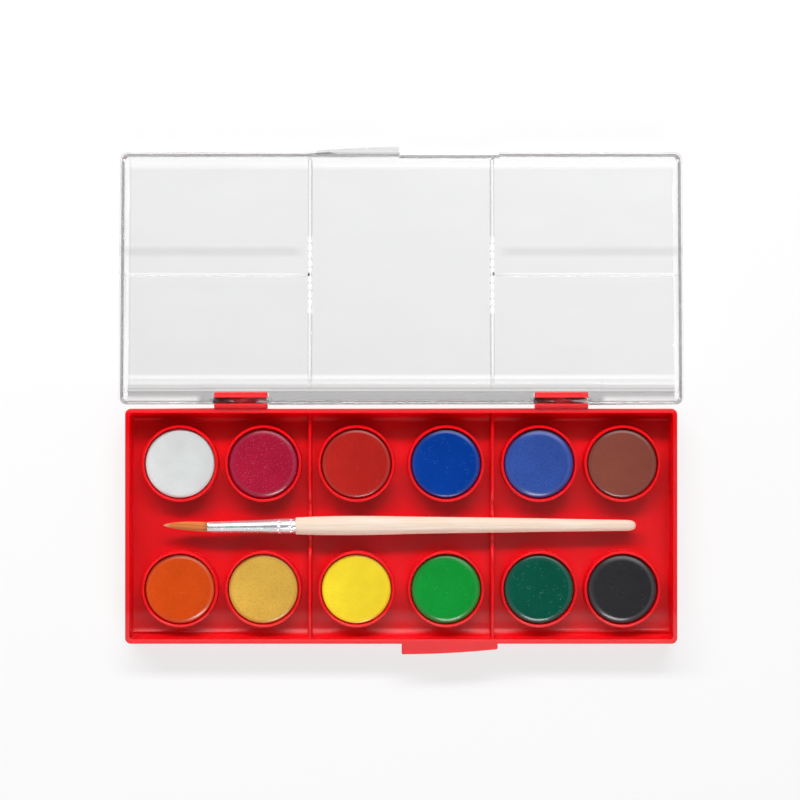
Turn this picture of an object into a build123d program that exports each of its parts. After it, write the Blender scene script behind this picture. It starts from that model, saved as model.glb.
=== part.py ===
from build123d import *
from math import acos, atan2, degrees, hypot, sqrt
import os

# Watercolour paint box with a clear hinged lid, lying open as it is used.
# The origin is the centre of the tray's underside: +X runs along the box, -Y is its front with
# the finger tabs, and the lid lies open on +Y with its top on the table and its wells upwards.

# Tray, one red moulding
tray_length = 189.8
tray_depth = 80.8
tray_height = 10.5
tray_wall = 1.55
tray_floor = 1.3
tray_corner_radius = 2.0
tray_cove_radius = 3.2
tray_end_cove_radius = 0.6
tray_rim_round = 0.35

# Cups moulded in the tray, in two rows that are shifted a little to the front. The length that
# the cups leave free is shared out between the gaps beside them in these parts.
cup_middle_gap_share = 4.5
cup_rib_gap_share = 5.7
cup_pair_gap_share = 2.3
cup_end_gap_share = 3.6
cup_side_gap = 3.9
cup_row_shift = -0.3
cup_wall = 0.95
cup_height = 5.7
cup_lip_round = 0.35

# Paint tablets
tablet_diameter = 24.0
tablet_gap = 0.3
tablet_thickness = 4.7
tablet_bevel_width = 2.1
tablet_bevel_drop = 0.75

# Ribs across the tray, with ramps beside the scallops; their sides draw in towards the top
rib_foot_thickness = 1.4
rib_top_thickness = 0.95
rib_height = 5.2
rib_ramp_run = 4.0

# Brush
brush_clearance = 0.3
handle_length = 117.6
handle_butt_x = 81.2
handle_neck_diameter = 5.85
handle_belly_diameter = 6.6
handle_belly_run = 15.5
handle_seat_diameter = 6.15
handle_far_seat_diameter = 5.2
handle_tail_diameter = 3.75
handle_tail_run = 3.2
tenon_length = 9.0
ferrule_length = 30.5
ferrule_mouth_diameter = 3.6
ferrule_end_diameter = 5.2
ferrule_wall = 0.25
crimp_depth = 0.2
crimp_width = 1.3
crimp_runs = (1.6, 5.8)
hair_length = 15.2
hair_belly_diameter = 3.3
hair_root_length = 6.0
resin_length = 4.0

# Scallops that carry a brush, in the tray's ribs and in the lid's dividers
scallop_count = 3
scallop_pitch = 5.6
scallop_floor_height = 1.7
lid_scallop_count = 4
lid_scallop_pitch = 5.5
lid_scallop_radius = 3.3

# Split knuckles on the tray and the rods of the lid that snap into them
hinge_offset = 55.1
hinge_setback = 2.8
hinge_height = 9.5
rod_diameter = 2.2
rod_clearance = 0.06
knuckle_diameter = 5.9
knuckle_width = 18.2
knuckle_slot = 2.0
knuckle_lead = 0.45
knuckle_web_height = 3.2
knuckle_gap = 0.4

# Lid, one clear moulding, measured as a shallow tray that lies beside the hinge rods
lid_end_clearance = 0.65
lid_front_clearance = 0.75
lid_wall = 1.2
lid_panel = 1.3
lid_height = 6.6
lid_rim_above_rods = 1.1
lid_behind_rods = 1.35
lid_cove_radius = 4.3
lid_end_cove_radius = 1.3
lid_corner_radius = 2.5
lid_lip = 0.4
lid_lip_height = 1.5

# Fins that divide the lid into mixing wells, with the same draft on their sides
lid_divider_foot_thickness = 1.4
lid_divider_top_thickness = 1.0
lid_divider_height = 4.5
lid_divider_gap = 0.45
lid_dip_depth = 1.6
lid_dip_ramp_run = 3.1
cross_rib_y = 43.9
cross_rib_foot_thickness = 1.2
cross_rib_top_thickness = 0.9
cross_rib_height = 2.4
crest_gap = 0.3
crest_width = 0.9
crest_ramp_run = 5.3
crest_step = 0.4
crest_step_half_length = 69.5
cheek_thickness = 1.0
cheek_reach = 1.3

# Finger tabs: both follow one shallow arch
tab_arch_radius = 315.0
tab_thickness = 2.0
tab_corner_round = 0.6
tray_tab_start = 0.15
tray_tab_length = 33.0
tray_tab_reach = 3.6
lid_tab_end = -0.7
lid_tab_length = 33.2
lid_tab_reach = 1.9
notch_gap = 0.7
notch_headroom = 0.3

# Sizes that follow from the ones above
tray_back = tray_depth / 2
tray_inner_length = tray_length - 2 * tray_wall
tray_inner_depth = tray_depth - 2 * tray_wall
hinge_y = tray_back + hinge_setback

# Three columns of cups each side of the middle, and a rib or divider between the first two
cup_radius = tablet_diameter / 2 + tablet_gap + cup_wall
spare_length = tray_inner_length - 12 * cup_radius
gap_shares = cup_middle_gap_share + 2 * (cup_rib_gap_share + cup_pair_gap_share + cup_end_gap_share)
gap_unit = spare_length / gap_shares
first_column = cup_radius + gap_unit * cup_middle_gap_share / 2
second_column = first_column + 2 * cup_radius + gap_unit * cup_rib_gap_share
third_column = second_column + 2 * cup_radius + gap_unit * cup_pair_gap_share
cup_columns = (first_column, second_column, third_column)
cup_row = tray_inner_depth / 2 - cup_side_gap - cup_radius
divider_offset = (first_column + second_column) / 2

# The lid shuts over the tray with a clearance all round
lid_length = tray_length + 2 * (lid_end_clearance + lid_wall)
lid_beyond_rods = hinge_setback + tray_depth + lid_front_clearance + lid_wall
lid_depth = lid_behind_rods + lid_beyond_rods
lid_inner_length = lid_length - 2 * lid_wall
lid_inner_depth = lid_depth - 2 * lid_wall
lid_middle = (lid_beyond_rods - lid_behind_rods) / 2
lid_underside = lid_rim_above_rods - lid_height
well_floor = lid_underside + lid_panel
window_radius = knuckle_diameter / 2 + brush_clearance
window_half_width = knuckle_width / 2 + knuckle_gap

# The open lid rests on the table along the round of its far edge, so it leans back a little
far_round_radius = lid_cove_radius + lid_wall
far_round_y = lid_beyond_rods - far_round_radius
far_round_z = lid_underside + far_round_radius
lid_lean = degrees(
    acos((far_round_radius - hinge_height) / hypot(far_round_y, far_round_z))
    - atan2(far_round_y, far_round_z)
)
lid_frame = Plane((0, hinge_y, hinge_height)).rotated((-lid_lean, 0, 0))

cup_centres = [
    (side * x, row)
    for row in (cup_row_shift + cup_row, cup_row_shift - cup_row)
    for side, x in [(-1, x) for x in reversed(cup_columns)] + [(1, x) for x in cup_columns]
]
paint_names = (
    "white", "crimson", "vermilion", "blue", "ultramarine", "brown",
    "orange", "ochre", "yellow", "green", "dark_green", "black",
)


def profile_plane(frame, x=0.0):
    """Plane across the box at x, on which a sketch's x runs along the frame's y and its y upwards."""
    return Plane(frame.from_local_coords((x, 0, 0)), x_dir=frame.y_dir, z_dir=frame.x_dir)


def level_plane(frame, y=0.0, z=0.0):
    """Plane parallel to the frame's own, moved along its y and z."""
    return Plane(frame.from_local_coords((0, y, z)), x_dir=frame.x_dir, z_dir=frame.z_dir)


def tub(base, length, depth, height, long_radius, end_radius, corner_radius):
    """Block that stands on base, with its long lower edges, end edges and upright corners rounded."""
    with BuildPart() as block:
        with BuildSketch(profile_plane(base)) as across:
            Rectangle(depth, height, align=(Align.CENTER, Align.MIN))
            fillet(across.vertices().group_by(Axis.Y)[0], radius=long_radius)
        extrude(amount=length / 2, both=True)
        with BuildSketch(Plane(base.origin, x_dir=base.x_dir, z_dir=-base.y_dir)) as along:
            Rectangle(length, height, align=(Align.CENTER, Align.MIN))
            fillet(along.vertices().group_by(Axis.Y)[0], radius=end_radius)
        extrude(amount=depth / 2, both=True, mode=Mode.INTERSECT)
        with BuildSketch(base):
            RectangleRounded(length, depth, corner_radius)
        extrude(amount=height, mode=Mode.INTERSECT)
    return block.part


def drafted_fin(frame, outline, x, foot, foot_thickness, top, top_thickness):
    """Upright fin at x that has the outline, a sketch across the box, as its side view. Its
    thickness falls evenly from the foot level to the top level."""
    with BuildPart() as fin:
        with BuildSketch(profile_plane(frame, x)):
            add(outline)
        extrude(amount=foot_thickness / 2, both=True)
        with BuildSketch(Plane(frame.origin, x_dir=frame.x_dir, z_dir=-frame.y_dir)):
            with BuildLine():
                Polyline(
                    (x - foot_thickness / 2, foot), (x + foot_thickness / 2, foot),
                    (x + top_thickness / 2, top), (x - top_thickness / 2, top), close=True,
                )
            make_face()
        extrude(amount=2 * tray_depth, both=True, mode=Mode.INTERSECT)
    return fin.part


def scallops(middle, crest, count, pitch, radius):
    """Row of equal arcs that meet in cusps at crest height, drawn in the open BuildLine."""
    sag = radius - sqrt(radius**2 - (pitch / 2) ** 2)
    start = middle - count * pitch / 2
    for number in range(count):
        left = start + number * pitch
        ThreePointArc((left, crest), (left + pitch / 2, crest - sag), (left + pitch, crest))


def tab_outline(front, reach, start, end, root):
    """Closed outline of a finger tab whose arched edge stands reach in front of front at x = 0."""
    def arch(x):
        return front + reach - tab_arch_radius + sqrt(tab_arch_radius**2 - x**2)

    middle = (start + end) / 2
    ThreePointArc((start, arch(start)), (middle, arch(middle)), (end, arch(end)))
    Polyline((end, arch(end)), (end, root), (start, root), (start, arch(start)))


# Tray: floor, walls, cups, scalloped ribs, finger tab and split knuckles in one moulding
scallop_radius = handle_seat_diameter / 2 + brush_clearance
scallop_sag = scallop_radius - sqrt(scallop_radius**2 - (scallop_pitch / 2) ** 2)
scallop_crest = tray_floor + scallop_floor_height + scallop_sag
scallop_half_run = scallop_count * scallop_pitch / 2
tray_block = tub(
    Plane.XY, tray_length, tray_depth, tray_height,
    tray_cove_radius + tray_floor, tray_end_cove_radius + tray_floor, tray_corner_radius,
)
tray_hollow = tub(
    Plane.XY.offset(tray_floor), tray_inner_length, tray_inner_depth, tray_height,
    tray_cove_radius, tray_end_cove_radius, tray_corner_radius / 2,
)

with BuildSketch() as rib_outline:
    with BuildLine():
        half = tray_inner_depth / 2
        rib_top = tray_floor + rib_height
        ramp_foot = scallop_half_run
        ramp_head = scallop_half_run + rib_ramp_run
        scallops(0, scallop_crest, scallop_count, scallop_pitch, scallop_radius)
        Polyline(
            (ramp_foot, scallop_crest), (ramp_head, rib_top), (half, rib_top), (half, tray_floor),
            (-half, tray_floor), (-half, rib_top), (-ramp_head, rib_top), (-ramp_foot, scallop_crest),
        )
    make_face()

with BuildPart() as tray:
    add(tray_block)
    add(tray_hollow, mode=Mode.SUBTRACT)
    fillet(tray.edges().group_by(Axis.Z)[-1], radius=tray_rim_round)
    with BuildSketch(Plane.XY.offset(tray_floor)):
        with Locations(*cup_centres):
            Circle(cup_radius)
            Circle(cup_radius - cup_wall, mode=Mode.SUBTRACT)
    extrude(amount=cup_height)
    fillet(
        tray.edges().filter_by(GeomType.CIRCLE).filter_by_position(
            Axis.Z, tray_floor + cup_height, tray_floor + cup_height
        ),
        radius=cup_lip_round,
    )
    for x in (-divider_offset, divider_offset):
        add(drafted_fin(
            Plane.XY, rib_outline.sketch, x, tray_floor, rib_foot_thickness, rib_top, rib_top_thickness
        ))
    with BuildSketch(Plane.XY.offset(tray_height - tab_thickness)) as tray_tab:
        with BuildLine(Plane.XY.rotated((180, 0, 0))):
            tab_outline(
                tray_back, tray_tab_reach, tray_tab_start, tray_tab_start + tray_tab_length,
                tray_back - tray_wall / 2,
            )
        make_face()
        fillet(tray_tab.vertices().sort_by(Axis.Y)[:2], radius=tab_corner_round)
    extrude(amount=tab_thickness)
    for x in (-hinge_offset, hinge_offset):
        with BuildSketch(Plane.YZ.offset(x - knuckle_width / 2)):
            with Locations((hinge_y, hinge_height)):
                Circle(knuckle_diameter / 2)
            with Locations((tray_back, tray_height - tray_rim_round)):
                Rectangle(hinge_setback, knuckle_web_height, align=(Align.MIN, Align.MAX))
            with Locations((hinge_y, hinge_height)):
                Circle(rod_diameter / 2 + rod_clearance, mode=Mode.SUBTRACT)
                Rectangle(
                    knuckle_slot, knuckle_diameter, align=(Align.CENTER, Align.MIN), mode=Mode.SUBTRACT
                )
            with BuildLine():
                mouth = hinge_height + knuckle_diameter / 2
                Polyline(
                    (hinge_y, mouth - knuckle_slot / 2 - 2 * knuckle_lead),
                    (hinge_y + knuckle_slot / 2 + knuckle_lead, mouth),
                    (hinge_y - knuckle_slot / 2 - knuckle_lead, mouth),
                    close=True,
                )
            make_face(mode=Mode.SUBTRACT)
        extrude(amount=knuckle_width)
tray.part.label = "tray"

# Lid: everything below is drawn in the frame of the hinge rods, which leans with the open lid
divider_top = well_floor + lid_divider_height
dip_crest = divider_top - lid_dip_depth
dip_half_run = lid_scallop_count * lid_scallop_pitch / 2
crest_top = hinge_height - tray_height - crest_gap
notch_floor = hinge_height - tray_height - notch_headroom
crest_near = sqrt(window_radius**2 - crest_top**2)
crest_far = crest_near + crest_width
crest_foot = crest_far + crest_ramp_run
fin_front = lid_beyond_rods - lid_wall / 2
divider_front = hinge_y + tray_inner_depth / 2 - lid_divider_gap
divider_back = hinge_setback + tray_wall + lid_divider_gap
fin_half_length = lid_inner_length / 2 + lid_wall / 4
fin_foot = well_floor - lid_panel / 2

lid_block = tub(
    level_plane(lid_frame, lid_middle, lid_underside), lid_length, lid_depth, lid_height,
    far_round_radius, lid_end_cove_radius + lid_wall, lid_corner_radius,
)
lid_hollow = tub(
    level_plane(lid_frame, lid_middle, well_floor), lid_inner_length, lid_inner_depth, lid_height,
    lid_cove_radius, lid_end_cove_radius, lid_corner_radius / 2,
)

with BuildSketch() as divider_outline:
    with BuildLine():
        near = cross_rib_y - dip_half_run
        far = cross_rib_y + dip_half_run
        scallops(cross_rib_y, dip_crest, lid_scallop_count, lid_scallop_pitch, lid_scallop_radius)
        Polyline(
            (far, dip_crest), (far + lid_dip_ramp_run, divider_top),
            (divider_front, divider_top), (divider_front, crest_top),
            (fin_front, crest_top), (fin_front, fin_foot), (divider_back, fin_foot),
            (divider_back, divider_top), (near - lid_dip_ramp_run, divider_top),
            (near, dip_crest),
        )
    make_face()

with BuildPart() as lid_fins:
    # Crest that closes the wells at the hinge side and runs down to them in a cove
    for half_length, top in (
        (fin_half_length, crest_top - crest_step),
        (crest_step_half_length, crest_top),
    ):
        with BuildSketch(profile_plane(lid_frame)):
            with BuildLine():
                ramp_height = top - well_floor
                ramp_radius = (crest_ramp_run**2 + ramp_height**2) / (2 * ramp_height)
                RadiusArc((crest_far, top), (crest_foot, well_floor), -ramp_radius)
                Polyline(
                    (crest_foot, well_floor), (crest_foot, fin_foot),
                    (crest_near, fin_foot), (crest_near, top), (crest_far, top),
                )
            make_face()
        extrude(amount=half_length, both=True)
    # Long dividers, with a scalloped dip that also clears the brush when the lid is shut
    for x in (-divider_offset, divider_offset):
        add(drafted_fin(
            lid_frame, divider_outline.sketch, x, fin_foot, lid_divider_foot_thickness,
            divider_top, lid_divider_top_thickness,
        ))
    # Cross ribs that halve the end wells
    for side in (-1, 1):
        with BuildSketch(profile_plane(lid_frame, side * divider_offset)):
            with BuildLine():
                foot_half = cross_rib_foot_thickness / 2
                top_half = cross_rib_top_thickness / 2
                cross_rib_top = well_floor + cross_rib_height
                Polyline(
                    (cross_rib_y + foot_half, fin_foot), (cross_rib_y + top_half, cross_rib_top),
                    (cross_rib_y - top_half, cross_rib_top), (cross_rib_y - foot_half, fin_foot), close=True,
                )
            make_face()
        extrude(amount=side * (fin_half_length - divider_offset))
    # Cheeks beside the windows, which carry the rods
    for x in (-hinge_offset, hinge_offset):
        for side in (-1, 1):
            with BuildSketch(profile_plane(lid_frame, x + side * window_half_width)):
                with BuildLine():
                    Polyline(
                        (-lid_behind_rods, lid_rim_above_rods), (cheek_reach, lid_rim_above_rods),
                        (cheek_reach, fin_foot),
                        (-lid_behind_rods, fin_foot),
                        close=True,
                    )
                make_face()
            extrude(amount=side * cheek_thickness)
    add(lid_block, mode=Mode.INTERSECT)

with BuildPart() as lid:
    add(lid_block)
    with BuildSketch(level_plane(lid_frame, lid_middle, lid_rim_above_rods - lid_lip_height)):
        with Locations((0, lid_lip / 2)):
            RectangleRounded(lid_length + 2 * lid_lip, lid_depth + lid_lip, lid_corner_radius + lid_lip)
    extrude(amount=lid_lip_height)
    add(lid_hollow, mode=Mode.SUBTRACT)
    # Windows for the knuckles
    for x in (-hinge_offset, hinge_offset):
        with BuildSketch(profile_plane(lid_frame, x)):
            Circle(window_radius)
            with Locations((lid_wall / 2, 0)):
                Rectangle(3 * lid_behind_rods, 3 * lid_height, align=(Align.MAX, Align.CENTER))
        extrude(amount=window_half_width, both=True, mode=Mode.SUBTRACT)
    add(lid_fins.part)
    # Notch that lets the tray's tab through the front wall
    with BuildSketch(level_plane(lid_frame, lid_beyond_rods, notch_floor)):
        with Locations((tray_tab_start + tray_tab_length / 2, 0)):
            Rectangle(tray_tab_length + 2 * notch_gap, 2 * (lid_wall + lid_lip))
    extrude(amount=lid_height, mode=Mode.SUBTRACT)
    # Finger tab, flush with the rim
    with BuildSketch(level_plane(lid_frame, 0, lid_rim_above_rods - tab_thickness)) as lid_tab:
        with BuildLine():
            tab_outline(
                lid_beyond_rods + lid_lip, lid_tab_reach, lid_tab_end - lid_tab_length, lid_tab_end,
                lid_beyond_rods - lid_wall / 2,
            )
        make_face()
        fillet(lid_tab.vertices().sort_by(Axis.Y)[-2:], radius=tab_corner_round)
    extrude(amount=tab_thickness)
    # Rods, from cheek to cheek
    for x in (-hinge_offset, hinge_offset):
        with BuildSketch(profile_plane(lid_frame, x)):
            Circle(rod_diameter / 2)
        extrude(amount=window_half_width + cheek_thickness / 2, both=True)
lid.part.label = "lid"

# Paint tablets: pressed discs with a worn, rounded shoulder
tablets = []
for colour, (x, y) in zip(paint_names, cup_centres):
    with BuildPart() as tablet:
        with BuildSketch(Plane((x, y, tray_floor), x_dir=(1, 0, 0), z_dir=(0, -1, 0))):
            with BuildLine():
                radius = tablet_diameter / 2
                shoulder = radius - tablet_bevel_width
                Polyline(
                    (shoulder, tablet_thickness), (0, tablet_thickness), (0, 0), (radius, 0),
                    (radius, tablet_thickness - tablet_bevel_drop),
                )
                Spline(
                    (shoulder, tablet_thickness), (radius, tablet_thickness - tablet_bevel_drop),
                    tangents=((1, 0), (0.35, -1)),
                )
            make_face()
        revolve(axis=Axis((x, y, 0), (0, 0, 1)))
    tablet.part.label = f"paint_{colour}"
    tablets.append(tablet.part)

# Brush: its axis leans with the taper of the handle, so that both seats touch down alike
seat_z = tray_floor + scallop_floor_height + brush_clearance + handle_seat_diameter / 2
far_seat_z = tray_floor + scallop_floor_height + brush_clearance + handle_far_seat_diameter / 2
brush_lean = degrees(atan2(seat_z - far_seat_z, 2 * divider_offset))
brush_frame = Plane((0, 0, (seat_z + far_seat_z) / 2)).rotated((0, brush_lean, 0))
brush_plane = Plane(brush_frame.origin, x_dir=brush_frame.x_dir, z_dir=-brush_frame.y_dir)
brush_axis = Axis(brush_frame.origin, brush_frame.x_dir)
handle_neck_x = handle_butt_x - handle_length
ferrule_mouth_x = handle_neck_x - ferrule_length
hair_tip_x = ferrule_mouth_x - hair_length


def ferrule_radius(x):
    """Outer radius of the tapered ferrule at x."""
    share = (x - ferrule_mouth_x) / ferrule_length
    return (ferrule_mouth_diameter + share * (ferrule_end_diameter - ferrule_mouth_diameter)) / 2


def bore_radius(x):
    return ferrule_radius(x) - ferrule_wall


with BuildPart() as brush_handle:
    with BuildSketch(brush_plane):
        with BuildLine():
            neck = handle_neck_diameter / 2
            tail = handle_tail_diameter / 2
            tail_x = handle_butt_x - handle_tail_run
            tenon_x = handle_neck_x - tenon_length
            Spline(
                (handle_neck_x, neck), (-divider_offset, handle_seat_diameter / 2),
                (handle_neck_x + handle_belly_run, handle_belly_diameter / 2),
                (divider_offset, handle_far_seat_diameter / 2), (tail_x, tail),
            )
            Spline((tail_x, tail), (handle_butt_x, 0), tangents=((1, -0.03), (0, -1)))
            Polyline(
                (handle_butt_x, 0), (tenon_x, 0), (tenon_x, bore_radius(tenon_x) - crimp_depth),
                (handle_neck_x, bore_radius(handle_neck_x) - crimp_depth), (handle_neck_x, neck),
            )
        make_face()
    revolve(axis=brush_axis)
brush_handle.part.label = "brush_handle"

with BuildPart() as brush_ferrule:
    with BuildSketch(brush_plane):
        with BuildLine():
            for radius_at in (ferrule_radius, bore_radius):
                start = ferrule_mouth_x
                for run in sorted(crimp_runs, reverse=True):
                    middle = handle_neck_x - run
                    near = middle - crimp_width / 2
                    far = middle + crimp_width / 2
                    Line((start, radius_at(start)), (near, radius_at(near)))
                    ThreePointArc(
                        (near, radius_at(near)), (middle, radius_at(middle) - crimp_depth),
                        (far, radius_at(far)),
                    )
                    start = far
                Line((start, radius_at(start)), (handle_neck_x, radius_at(handle_neck_x)))
            for x in (ferrule_mouth_x, handle_neck_x):
                Line((x, bore_radius(x)), (x, ferrule_radius(x)))
        make_face()
    revolve(axis=brush_axis)
brush_ferrule.part.label = "brush_ferrule"

with BuildPart() as brush_hair:
    with BuildSketch(brush_plane):
        with BuildLine():
            root_x = ferrule_mouth_x + hair_root_length
            Line((hair_tip_x, 0), (root_x, 0))
            Line((root_x, 0), (root_x, bore_radius(root_x)))
            Line((root_x, bore_radius(root_x)), (ferrule_mouth_x, bore_radius(ferrule_mouth_x)))
            Spline(
                (ferrule_mouth_x, bore_radius(ferrule_mouth_x)),
                (ferrule_mouth_x - hair_length / 4, hair_belly_diameter / 2),
                (ferrule_mouth_x - hair_length * 0.7, hair_belly_diameter * 0.36),
                (hair_tip_x, 0),
            )
        make_face()
    revolve(axis=brush_axis)
brush_hair.part.label = "brush_hair"

with BuildPart() as brush_resin:
    with BuildSketch(brush_plane):
        with BuildLine():
            resin_x = root_x + resin_length
            Polyline(
                (root_x, 0), (resin_x, 0), (resin_x, bore_radius(resin_x)),
                (root_x, bore_radius(root_x)), close=True,
            )
        make_face()
    revolve(axis=brush_axis)
brush_resin.part.label = "brush_resin"

os.makedirs("parts", exist_ok=True)
pieces = [tray.part, lid.part, *tablets]
pieces += [brush_handle.part, brush_ferrule.part, brush_hair.part, brush_resin.part]
for piece in pieces:
    export_step(piece, f"parts/{piece.label}.step")
print(f"lid leans {lid_lean:.3f} degrees below level and shuts through {180 + lid_lean:.3f} degrees")
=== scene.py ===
import math
import bmesh
import bpy
import numpy as np
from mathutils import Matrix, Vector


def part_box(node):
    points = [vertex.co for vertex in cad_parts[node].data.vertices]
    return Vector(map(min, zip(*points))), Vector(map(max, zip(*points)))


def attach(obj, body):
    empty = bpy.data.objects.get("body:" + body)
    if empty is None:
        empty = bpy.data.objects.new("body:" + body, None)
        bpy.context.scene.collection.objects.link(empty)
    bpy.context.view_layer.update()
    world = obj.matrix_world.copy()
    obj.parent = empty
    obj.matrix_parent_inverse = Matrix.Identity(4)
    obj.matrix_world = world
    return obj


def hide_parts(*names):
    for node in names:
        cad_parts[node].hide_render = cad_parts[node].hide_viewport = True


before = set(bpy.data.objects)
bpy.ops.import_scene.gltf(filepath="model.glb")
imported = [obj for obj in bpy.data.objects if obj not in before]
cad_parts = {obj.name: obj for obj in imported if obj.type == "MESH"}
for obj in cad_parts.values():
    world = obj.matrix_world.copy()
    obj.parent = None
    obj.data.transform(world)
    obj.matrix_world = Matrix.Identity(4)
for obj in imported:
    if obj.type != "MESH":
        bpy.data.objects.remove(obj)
bpy.context.view_layer.update()

# Tray. One red polystyrene moulding: a shallow box with twelve round cups, two scalloped ribs,
# a finger tab and two split knuckles. It is injection moulded, so every edge is slightly
# rounded by the tool, and its gloss carries faint flow clouds and the fine scratches of use.
mm = 0.001
red_gloss = (
    (-60, 0.45), (-45, 0.45), (-43.5, 0.82), (-39, 0.82), (-31.5, 0.7), (-29, 0.3),
    (26, 0.3), (34, 0.08), (39, 0.08), (39.4, 0.6), (60, 0.6),
)
merge_distance = 0.002 * mm
flat_turn = math.radians(0.2)
sharp_turn = math.radians(30)
shortest_rounded = 0.3 * mm
cup_rim_bottom = 6.6 * mm
cup_rim_top = 7.02 * mm
cup_rim_reach = 13.4 * mm
rim_smoothing_rounds = 3


def moulding(name, node, edge_round, round_rims=()):
    """Piece made from a CAD node: its loose triangles are merged, its flat ones are joined, and
    each edge that turns sharply and isn't tiny is rounded off by edge_round. The cup rims about
    the middles in round_rims are round already: their triangles are turned the smooth way, and
    their edges stay as they are."""
    mesh = bpy.data.meshes.new(name)
    work = bmesh.new()
    work.from_mesh(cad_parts[node].data)
    bmesh.ops.remove_doubles(work, verts=work.verts, dist=merge_distance)

    def on_rim(place):
        """Whether a place is between the rims' heights and within reach of a cup's middle."""
        if not cup_rim_bottom < place.z < cup_rim_top:
            return False
        return any(math.dist(place[:2], middle) < cup_rim_reach for middle in round_rims)

    for _ in range(rim_smoothing_rounds):
        rim_faces = [face for face in work.faces if on_rim(face.calc_center_median())]
        rim_edges = list(dict.fromkeys(edge for face in rim_faces for edge in face.edges))
        bmesh.ops.beautify_fill(work, faces=rim_faces, edges=rim_edges, method="ANGLE")
    bmesh.ops.dissolve_limit(work, angle_limit=flat_turn, verts=work.verts, edges=work.edges)
    weight = work.edges.layers.float.new("bevel_weight_edge")
    for edge in work.edges:
        turned = len(edge.link_faces) == 2 and edge.calc_face_angle(0) > sharp_turn
        long_enough = edge.calc_length() > shortest_rounded
        middle = (edge.verts[0].co + edge.verts[1].co) / 2
        edge[weight] = float(turned and long_enough and not on_rim(middle))
    for face in work.faces:
        face.smooth = True
    work.to_mesh(mesh)
    work.free()
    piece = bpy.data.objects.new(name, mesh)
    bpy.context.scene.collection.objects.link(piece)
    rounding = piece.modifiers.new("rounded edges", "BEVEL")
    rounding.width = edge_round
    rounding.segments = 2
    rounding.limit_method = "WEIGHT"
    rounding.use_clamp_overlap = False
    shading = piece.modifiers.new("flat faces shade flat", "WEIGHTED_NORMAL")
    shading.mode = "FACE_AREA_WITH_ANGLE"
    return piece


def fit(piece, node, body, material):
    """The finished piece stands for its CAD node, moves with the body and takes its finish."""
    piece.data.materials.clear()
    piece.data.materials.append(material)
    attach(piece, body)
    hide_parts(node)


def linear(red, green, blue):
    """Linear colour of a colour that is written in 0 to 255, by undoing the sRGB curve."""
    shares = [value / 255 for value in (red, green, blue)]
    values = [((c + 0.055) / 1.055) ** 2.4 if c > 10 / 255 else c / 12.92 for c in shares]
    return (*values, 1.0)


def new_material(name):
    """Material with its node tree and its Principled shader."""
    material = bpy.data.materials.new(name)
    material.use_nodes = True
    return material, material.node_tree, material.node_tree.nodes["Principled BSDF"]


def place_of(tree, centre=(0, 0, 0), stretch=(1, 1, 1), turn=0.0):
    """Object coordinates scaled along each axis, turned about the upright one, and moved so that
    centre is their origin."""
    coordinates = tree.nodes.new("ShaderNodeTexCoord").outputs["Object"]
    mapping = tree.nodes.new("ShaderNodeMapping")
    mapping.inputs["Location"].default_value = [-c * s for c, s in zip(centre, stretch)]
    mapping.inputs["Rotation"].default_value = (0, 0, turn)
    mapping.inputs["Scale"].default_value = stretch
    tree.links.new(coordinates, mapping.inputs["Vector"])
    return mapping.outputs["Vector"]


def axes(tree, where):
    """X, Y and Z of a place or a direction, each as a number of its own."""
    split = tree.nodes.new("ShaderNodeSeparateXYZ")
    tree.links.new(where, split.inputs[0])
    return list(split.outputs)


def noise(tree, where, size, detail, seed):
    """Cloudy pattern from 0 to 1 whose blotches are about size metres across."""
    texture = tree.nodes.new("ShaderNodeTexNoise")
    texture.noise_dimensions = "4D"
    texture.inputs["W"].default_value = seed
    texture.inputs["Scale"].default_value = 1 / size
    texture.inputs["Detail"].default_value = detail
    tree.links.new(where, texture.inputs["Vector"])
    return texture.outputs["Fac"]


def spread(tree, value, low, high, to_low=0.0, to_high=1.0):
    """Straight-line map of value from low..high to to_low..to_high, held at the ends."""
    node = tree.nodes.new("ShaderNodeMapRange")
    for socket, number in zip(node.inputs[1:5], (low, high, to_low, to_high)):
        socket.default_value = number
    tree.links.new(value, node.inputs[0])
    return node.outputs[0]


def feed(tree, sockets, values):
    """Gives each socket its value: a link from another node's output, or a plain value."""
    for socket, value in zip(sockets, values):
        if isinstance(value, bpy.types.NodeSocket):
            tree.links.new(value, socket)
        else:
            socket.default_value = value


def arithmetic(tree, operation, first, second=0.0):
    """Result of a Math node on two sockets or numbers."""
    node = tree.nodes.new("ShaderNodeMath")
    node.operation = operation
    feed(tree, node.inputs, (first, second))
    return node.outputs[0]


def product(tree, first, *others):
    """Product of several sockets or numbers."""
    for other in others:
        first = arithmetic(tree, "MULTIPLY", first, other)
    return first


def apart(tree, place, middle):
    """Distance between two numbers: the size of their difference, whatever its sign."""
    return arithmetic(tree, "ABSOLUTE", arithmetic(tree, "SUBTRACT", place, middle))


def blend(tree, share, first, second):
    """Number that goes from first to second as share goes from 0 to 1."""
    node = tree.nodes.new("ShaderNodeMix")
    feed(tree, (node.inputs[0], node.inputs[2], node.inputs[3]), (share, first, second))
    return node.outputs[0]


def mix_colours(tree, share, first, second):
    """Colour that goes from first to second as share goes from 0 to 1."""
    node = tree.nodes.new("ShaderNodeMix")
    node.data_type = "RGBA"
    feed(tree, (node.inputs[0], node.inputs[6], node.inputs[7]), (share, first, second))
    return node.outputs[2]


def relief(tree, height, depth, under=None):
    """Normal of a surface whose height goes from 0 to depth metres, on top of the one under it."""
    node = tree.nodes.new("ShaderNodeBump")
    node.inputs["Strength"].default_value = 1.0
    node.inputs["Distance"].default_value = depth
    tree.links.new(height, node.inputs["Height"])
    if under is not None:
        tree.links.new(under, node.inputs["Normal"])
    return node.outputs["Normal"]


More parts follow.
